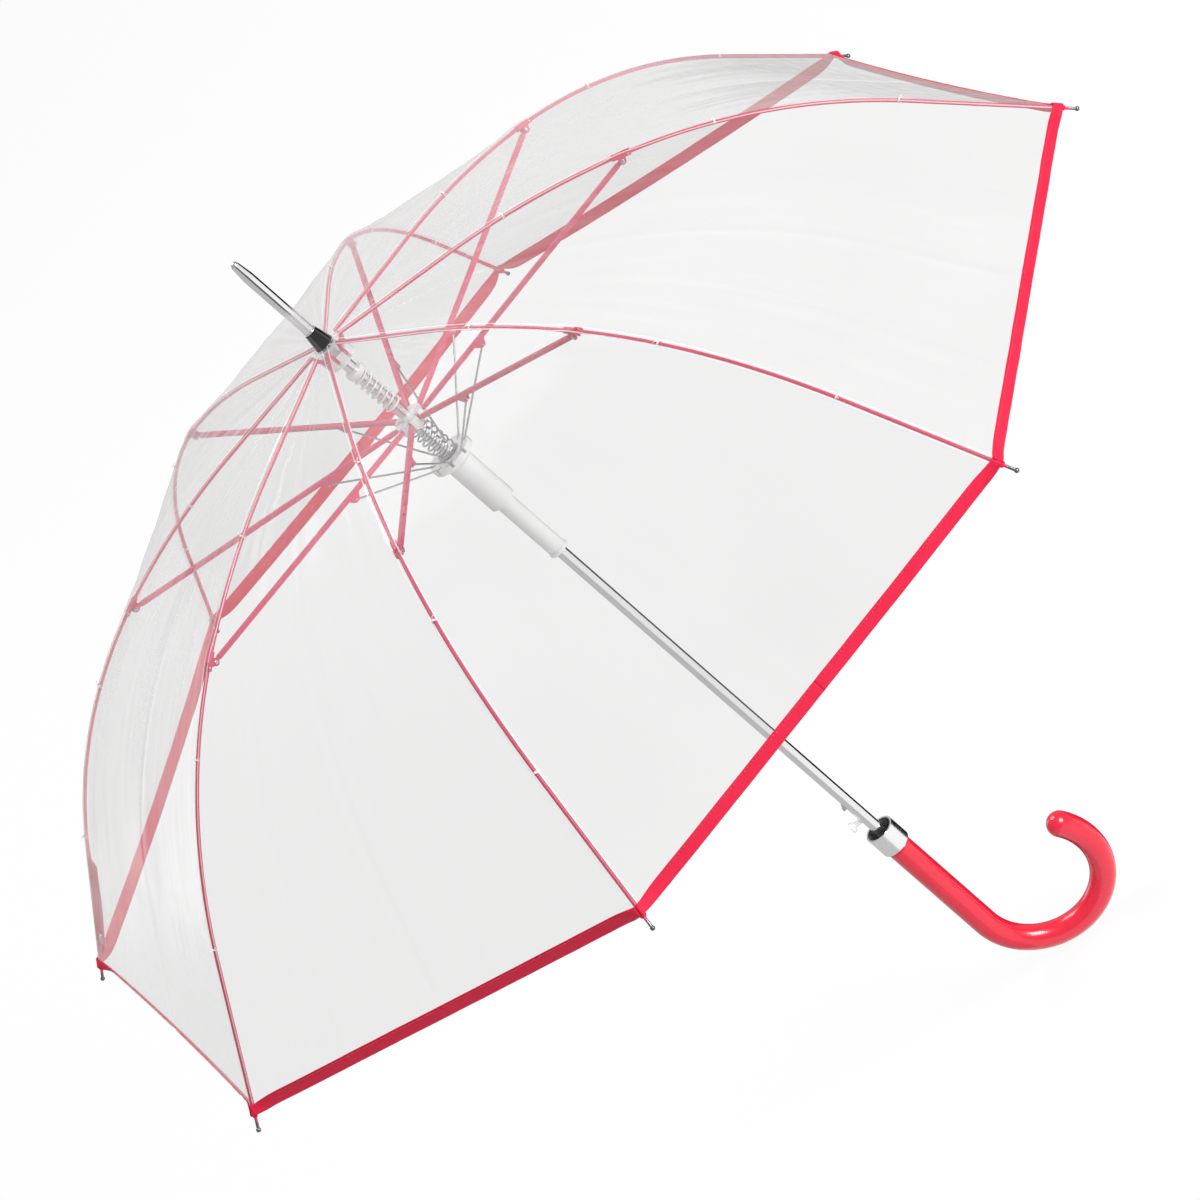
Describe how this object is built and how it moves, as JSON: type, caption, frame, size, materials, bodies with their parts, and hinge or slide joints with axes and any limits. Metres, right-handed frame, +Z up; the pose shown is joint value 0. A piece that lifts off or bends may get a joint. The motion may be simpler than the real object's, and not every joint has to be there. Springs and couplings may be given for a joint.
{
  "type": "stick umbrella",
  "caption": "Clear domed bubble umbrella with bound rim, curved ribs, stretchers and wire struts on a sprung runner, push button, collar cup and crook handle.",
  "frame": {"origin": "on the shaft's axis, in the straight grip where the hand holds it", "axes": "+Z up the shaft to the ferrule; +X towards the side of the crook's free end; +Y completes a right-handed frame"},
  "size_m": [1.0624, 1.0624, 0.937],
  "materials": {
    "clear_film": "clear polished film",
    "red_frame": "semi-gloss enamel",
    "clear_plastic": "clear moulded plastic",
    "chrome": "bright plated",
    "shaft_steel": "satin plated tube",
    "spring_steel": "drawn wire",
    "red_handle": "high gloss",
    "red_webbing": "woven tape"
  },
  "bodies": {
    "shaft": {"shaft_tube": "shaft_steel", "ferrule": "chrome", "ferrule_cup": "chrome", "canopy_washer": "clear_plastic", "top_notch": "clear_plastic", "notch_ring": "spring_steel", "buffer_spring": "spring_steel", "spring_stop": "clear_plastic", "collar": "shaft_steel", "handle": "red_handle", "button_spring": "spring_steel"},
    "inner_1": {"rib_inner_1": "red_frame", "film_1": "clear_film"},
    "outer_1": {"rib_outer_1": "red_frame"},
    "stretch_1": {"stretcher_1": "red_frame"},
    "strut_1": {"wire_1": "spring_steel"},
    "inner_2": {"rib_inner_2": "red_frame", "film_2": "clear_film"},
    "outer_2": {"rib_outer_2": "red_frame"},
    "stretch_2": {"stretcher_2": "red_frame"},
    "strut_2": {"wire_2": "spring_steel"},
    "inner_3": {"rib_inner_3": "red_frame", "film_3": "clear_film"},
    "outer_3": {"rib_outer_3": "red_frame"},
    "stretch_3": {"stretcher_3": "red_frame"},
    "strut_3": {"wire_3": "spring_steel"},
    "inner_4": {"rib_inner_4": "red_frame", "film_4": "clear_film"},
    "outer_4": {"rib_outer_4": "red_frame"},
    "stretch_4": {"stretcher_4": "red_frame"},
    "strut_4": {"wire_4": "spring_steel"},
    "inner_5": {"rib_inner_5": "red_frame", "film_5": "clear_film"},
    "outer_5": {"rib_outer_5": "red_frame", "tie_strap": "red_webbing"},
    "stretch_5": {"stretcher_5": "red_frame"},
    "strut_5": {"wire_5": "spring_steel"},
    "inner_6": {"rib_inner_6": "red_frame", "film_6": "clear_film"},
    "outer_6": {"rib_outer_6": "red_frame"},
    "stretch_6": {"stretcher_6": "red_frame"},
    "strut_6": {"wire_6": "spring_steel"},
    "inner_7": {"rib_inner_7": "red_frame", "film_7": "clear_film"},
    "outer_7": {"rib_outer_7": "red_frame"},
    "stretch_7": {"stretcher_7": "red_frame"},
    "strut_7": {"wire_7": "spring_steel"},
    "inner_8": {"rib_inner_8": "red_frame", "film_8": "clear_film"},
    "outer_8": {"rib_outer_8": "red_frame"},
    "stretch_8": {"stretcher_8": "red_frame"},
    "strut_8": {"wire_8": "spring_steel"},
    "hub": {"hub": "clear_plastic", "hub_ring": "spring_steel", "main_spring": "spring_steel"},
    "runner": {"lower_runner": "clear_plastic"},
    "button": {"push_button": "clear_plastic"},
    "catch": {"catch_lug": "spring_steel"}
  },
  "joints": [
    {"name": "rib_1_fold", "type": "hinge", "parent": "shaft", "child": "inner_1", "pos_m": [0.01, 0, 0.707], "axis": [0, 1, 0], "range_deg": [0, 75], "stiffness_Nm_per_rad": 2, "springref_deg": -57.3, "deforming": ["film_1", "main_spring"]},
    {"name": "rib_1_flex", "type": "hinge", "parent": "inner_1", "child": "outer_1", "pos_m": [0.26894, 0, 0.6689], "axis": [0, 1, 0], "range_deg": [-20.73, 0.15]},
    {"name": "stretcher_1_pivot", "type": "hinge", "parent": "inner_1", "child": "stretch_1", "pos_m": [0.26186, 0, 0.66711], "axis": [0, 1, 0], "range_deg": [-150.15, 0.15]},
    {"name": "wire_1_pivot", "type": "hinge", "parent": "stretch_1", "child": "strut_1", "pos_m": [0.08288, 0, 0.6337], "axis": [0, 1, 0], "range_deg": [-0.15, 26.43]},
    {"name": "rib_2_fold", "type": "hinge", "parent": "shaft", "child": "inner_2", "pos_m": [0.00707, 0.00707, 0.707], "axis": [-0.7071, 0.7071, 0], "range_deg": [-0.15, 75.15], "deforming": ["film_2"]},
    {"name": "rib_2_flex", "type": "hinge", "parent": "inner_2", "child": "outer_2", "pos_m": [0.19017, 0.19017, 0.6689], "axis": [-0.7071, 0.7071, 0], "range_deg": [-20.73, 0.15]},
    {"name": "stretcher_2_pivot", "type": "hinge", "parent": "inner_2", "child": "stretch_2", "pos_m": [0.18516, 0.18516, 0.66711], "axis": [-0.7071, 0.7071, 0], "range_deg": [-150.15, 0.15]},
    {"name": "wire_2_pivot", "type": "hinge", "parent": "stretch_2", "child": "strut_2", "pos_m": [0.05861, 0.05861, 0.6337], "axis": [-0.7071, 0.7071, 0], "range_deg": [-0.15, 26.43]},
    {"name": "rib_3_fold", "type": "hinge", "parent": "shaft", "child": "inner_3", "pos_m": [0, 0.01, 0.707], "axis": [-1, 0, 0], "range_deg": [-0.15, 75.15], "deforming": ["film_3"]},
    {"name": "rib_3_flex", "type": "hinge", "parent": "inner_3", "child": "outer_3", "pos_m": [0, 0.26894, 0.6689], "axis": [-1, 0, 0], "range_deg": [-20.73, 0.15]},
    {"name": "stretcher_3_pivot", "type": "hinge", "parent": "inner_3", "child": "stretch_3", "pos_m": [0, 0.26186, 0.66711], "axis": [-1, 0, 0], "range_deg": [-150.15, 0.15]},
    {"name": "wire_3_pivot", "type": "hinge", "parent": "stretch_3", "child": "strut_3", "pos_m": [0, 0.08288, 0.6337], "axis": [-1, 0, 0], "range_deg": [-0.15, 26.43]},
    {"name": "rib_4_fold", "type": "hinge", "parent": "shaft", "child": "inner_4", "pos_m": [-0.00707, 0.00707, 0.707], "axis": [-0.7071, -0.7071, 0], "range_deg": [-0.15, 75.15], "deforming": ["film_4"]},
    {"name": "rib_4_flex", "type": "hinge", "parent": "inner_4", "child": "outer_4", "pos_m": [-0.19017, 0.19017, 0.6689], "axis": [-0.7071, -0.7071, 0], "range_deg": [-20.73, 0.15]},
    {"name": "stretcher_4_pivot", "type": "hinge", "parent": "inner_4", "child": "stretch_4", "pos_m": [-0.18516, 0.18516, 0.66711], "axis": [-0.7071, -0.7071, 0], "range_deg": [-150.15, 0.15]},
    {"name": "wire_4_pivot", "type": "hinge", "parent": "stretch_4", "child": "strut_4", "pos_m": [-0.05861, 0.05861, 0.6337], "axis": [-0.7071, -0.7071, 0], "range_deg": [-0.15, 26.43]},
    {"name": "rib_5_fold", "type": "hinge", "parent": "shaft", "child": "inner_5", "pos_m": [-0.01, 0, 0.707], "axis": [0, -1, 0], "range_deg": [-0.15, 75.15], "deforming": ["film_5", "tie_strap"]},
    {"name": "rib_5_flex", "type": "hinge", "parent": "inner_5", "child": "outer_5", "pos_m": [-0.26894, 0, 0.6689], "axis": [0, -1, 0], "range_deg": [-20.73, 0.15]},
    {"name": "stretcher_5_pivot", "type": "hinge", "parent": "inner_5", "child": "stretch_5", "pos_m": [-0.26186, 0, 0.66711], "axis": [0, -1, 0], "range_deg": [-150.15, 0.15]},
    {"name": "wire_5_pivot", "type": "hinge", "parent": "stretch_5", "child": "strut_5", "pos_m": [-0.08288, 0, 0.6337], "axis": [0, -1, 0], "range_deg": [-0.15, 26.43]},
    {"name": "rib_6_fold", "type": "hinge", "parent": "shaft", "child": "inner_6", "pos_m": [-0.00707, -0.00707, 0.707], "axis": [0.7071, -0.7071, 0], "range_deg": [-0.15, 75.15], "deforming": ["film_6"]},
    {"name": "rib_6_flex", "type": "hinge", "parent": "inner_6", "child": "outer_6", "pos_m": [-0.19017, -0.19017, 0.6689], "axis": [0.7071, -0.7071, 0], "range_deg": [-20.73, 0.15]},
    {"name": "stretcher_6_pivot", "type": "hinge", "parent": "inner_6", "child": "stretch_6", "pos_m": [-0.18516, -0.18516, 0.66711], "axis": [0.7071, -0.7071, 0], "range_deg": [-150.15, 0.15]},
    {"name": "wire_6_pivot", "type": "hinge", "parent": "stretch_6", "child": "strut_6", "pos_m": [-0.05861, -0.05861, 0.6337], "axis": [0.7071, -0.7071, 0], "range_deg": [-0.15, 26.43]},
    {"name": "rib_7_fold", "type": "hinge", "parent": "shaft", "child": "inner_7", "pos_m": [0, -0.01, 0.707], "axis": [1, 0, 0], "range_deg": [-0.15, 75.15], "deforming": ["film_7"]},
    {"name": "rib_7_flex", "type": "hinge", "parent": "inner_7", "child": "outer_7", "pos_m": [0, -0.26894, 0.6689], "axis": [1, 0, 0], "range_deg": [-20.73, 0.15]},
    {"name": "stretcher_7_pivot", "type": "hinge", "parent": "inner_7", "child": "stretch_7", "pos_m": [0, -0.26186, 0.66711], "axis": [1, 0, 0], "range_deg": [-150.15, 0.15]},
    {"name": "wire_7_pivot", "type": "hinge", "parent": "stretch_7", "child": "strut_7", "pos_m": [0, -0.08288, 0.6337], "axis": [1, 0, 0], "range_deg": [-0.15, 26.43]},
    {"name": "rib_8_fold", "type": "hinge", "parent": "shaft", "child": "inner_8", "pos_m": [0.00707, -0.00707, 0.707], "axis": [0.7071, 0.7071, 0], "range_deg": [-0.15, 75.15], "deforming": ["film_8"]},
    {"name": "rib_8_flex", "type": "hinge", "parent": "inner_8", "child": "outer_8", "pos_m": [0.19017, -0.19017, 0.6689], "axis": [0.7071, 0.7071, 0], "range_deg": [-20.73, 0.15]},
    {"name": "stretcher_8_pivot", "type": "hinge", "parent": "inner_8", "child": "stretch_8", "pos_m": [0.18516, -0.18516, 0.66711], "axis": [0.7071, 0.7071, 0], "range_deg": [-150.15, 0.15]},
    {"name": "wire_8_pivot", "type": "hinge", "parent": "stretch_8", "child": "strut_8", "pos_m": [0.05861, -0.05861, 0.6337], "axis": [0.7071, 0.7071, 0], "range_deg": [-0.15, 26.43]},
    {"name": "hub_pivot", "type": "hinge", "parent": "stretch_1", "child": "hub", "pos_m": [0.01, 0, 0.62722], "axis": [0, 1, 0], "range_deg": [-0.15, 75.15]},
    {"name": "runner_slide", "type": "slide", "parent": "hub", "child": "runner", "axis": [0, 0, 1], "range_m": [-0.0002, 0.03172]},
    {"name": "button_push", "type": "slide", "parent": "shaft", "child": "button", "axis": [1, 0, 0], "range_m": [0, 0.0028], "stiffness_N_per_m": 400, "springref_m": -0.002, "deforming": ["button_spring"]},
    {"name": "catch_retract", "type": "slide", "parent": "shaft", "child": "catch", "axis": [1, 0, 0], "range_m": [-0.0001, 0.0029]}
  ],
  "couplings": [
    {"joint": "rib_1_flex", "follows": "rib_1_fold", "ratio": -0.2744},
    {"joint": "stretcher_1_pivot", "follows": "rib_1_fold", "ratio": -2},
    {"joint": "wire_1_pivot", "follows": "rib_1_fold", "ratio": 0.35042},
    {"joint": "rib_2_fold", "follows": "rib_1_fold", "ratio": 1},
    {"joint": "rib_2_flex", "follows": "rib_1_fold", "ratio": -0.2744},
    {"joint": "stretcher_2_pivot", "follows": "rib_1_fold", "ratio": -2},
    {"joint": "wire_2_pivot", "follows": "rib_1_fold", "ratio": 0.35042},
    {"joint": "rib_3_fold", "follows": "rib_1_fold", "ratio": 1},
    {"joint": "rib_3_flex", "follows": "rib_1_fold", "ratio": -0.2744},
    {"joint": "stretcher_3_pivot", "follows": "rib_1_fold", "ratio": -2},
    {"joint": "wire_3_pivot", "follows": "rib_1_fold", "ratio": 0.35042},
    {"joint": "rib_4_fold", "follows": "rib_1_fold", "ratio": 1},
    {"joint": "rib_4_flex", "follows": "rib_1_fold", "ratio": -0.2744},
    {"joint": "stretcher_4_pivot", "follows": "rib_1_fold", "ratio": -2},
    {"joint": "wire_4_pivot", "follows": "rib_1_fold", "ratio": 0.35042},
    {"joint": "rib_5_fold", "follows": "rib_1_fold", "ratio": 1},
    {"joint": "rib_5_flex", "follows": "rib_1_fold", "ratio": -0.2744},
    {"joint": "stretcher_5_pivot", "follows": "rib_1_fold", "ratio": -2},
    {"joint": "wire_5_pivot", "follows": "rib_1_fold", "ratio": 0.35042},
    {"joint": "rib_6_fold", "follows": "rib_1_fold", "ratio": 1},
    {"joint": "rib_6_flex", "follows": "rib_1_fold", "ratio": -0.2744},
    {"joint": "stretcher_6_pivot", "follows": "rib_1_fold", "ratio": -2},
    {"joint": "wire_6_pivot", "follows": "rib_1_fold", "ratio": 0.35042},
    {"joint": "rib_7_fold", "follows": "rib_1_fold", "ratio": 1},
    {"joint": "rib_7_flex", "follows": "rib_1_fold", "ratio": -0.2744},
    {"joint": "stretcher_7_pivot", "follows": "rib_1_fold", "ratio": -2},
    {"joint": "wire_7_pivot", "follows": "rib_1_fold", "ratio": 0.35042},
    {"joint": "rib_8_fold", "follows": "rib_1_fold", "ratio": 1},
    {"joint": "rib_8_flex", "follows": "rib_1_fold", "ratio": -0.2744},
    {"joint": "stretcher_8_pivot", "follows": "rib_1_fold", "ratio": -2},
    {"joint": "wire_8_pivot", "follows": "rib_1_fold", "ratio": 0.35042},
    {"joint": "hub_pivot", "follows": "rib_1_fold", "ratio": 1},
    {"joint": "runner_slide", "follows": "rib_1_fold", "m_per_rad": 0.024002},
    {"joint": "catch_retract", "follows": "button_push", "ratio": 1}
  ]
}
